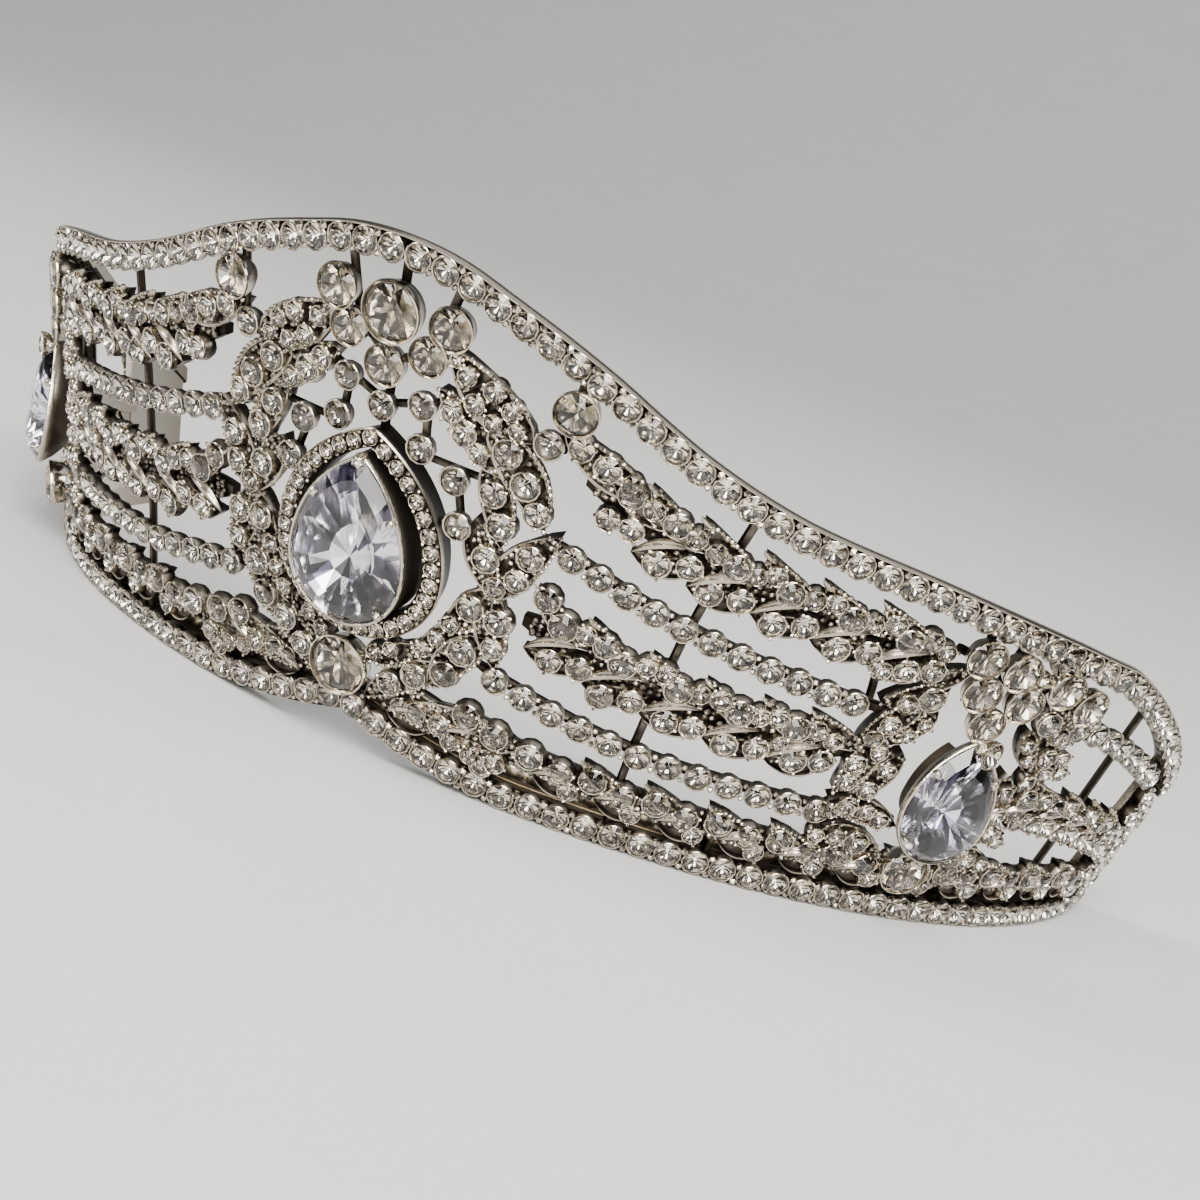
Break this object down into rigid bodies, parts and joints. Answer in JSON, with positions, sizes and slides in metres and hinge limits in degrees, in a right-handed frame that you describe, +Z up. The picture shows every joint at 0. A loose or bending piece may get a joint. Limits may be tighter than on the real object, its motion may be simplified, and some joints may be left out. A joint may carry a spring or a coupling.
{
  "type": "tiara",
  "caption": "Openwork bandeau tiara in silver-coloured metal with clear round stones, leaf garlands and pale violet pear-shaped stones in raised bezels.",
  "frame": {"origin": "centre of the bounding box in plan, on the plane the foot rail rests on", "axes": "+X to the wearer's left along the greatest width, -Y towards the front, +Z up"},
  "size_m": [0.14, 0.0784, 0.0509],
  "materials": {
    "silver_metal": "polished, greyed in the recesses",
    "clear_stone": "faceted, clear",
    "violet_stone": "faceted, pale violet grey"
  },
  "bodies": {
    "root": {"soldered_frame": "silver_metal", "centre_pear_stone": "violet_stone", "crown_round_stone": "clear_stone", "lower_round_stone": "clear_stone", "crown_foot_stone": "clear_stone", "side_pear_stone_right": "violet_stone", "crown_side_stone_right": "clear_stone", "crown_lower_stone_right": "clear_stone", "branch_round_stone_right": "clear_stone", "cluster_stone_1_right": "clear_stone", "cluster_stone_2_right": "clear_stone", "cluster_stone_3_right": "clear_stone", "cluster_stone_4_right": "clear_stone", "cluster_stone_5_right": "clear_stone", "cluster_stone_6_right": "clear_stone", "cluster_stone_7_right": "clear_stone", "drop_round_stone_right": "clear_stone", "side_pear_stone_left": "violet_stone", "crown_side_stone_left": "clear_stone", "crown_lower_stone_left": "clear_stone", "branch_round_stone_left": "clear_stone", "cluster_stone_1_left": "clear_stone", "cluster_stone_2_left": "clear_stone", "cluster_stone_3_left": "clear_stone", "cluster_stone_4_left": "clear_stone", "cluster_stone_5_left": "clear_stone", "cluster_stone_6_left": "clear_stone", "cluster_stone_7_left": "clear_stone", "drop_round_stone_left": "clear_stone"}
  },
  "joints": []
}
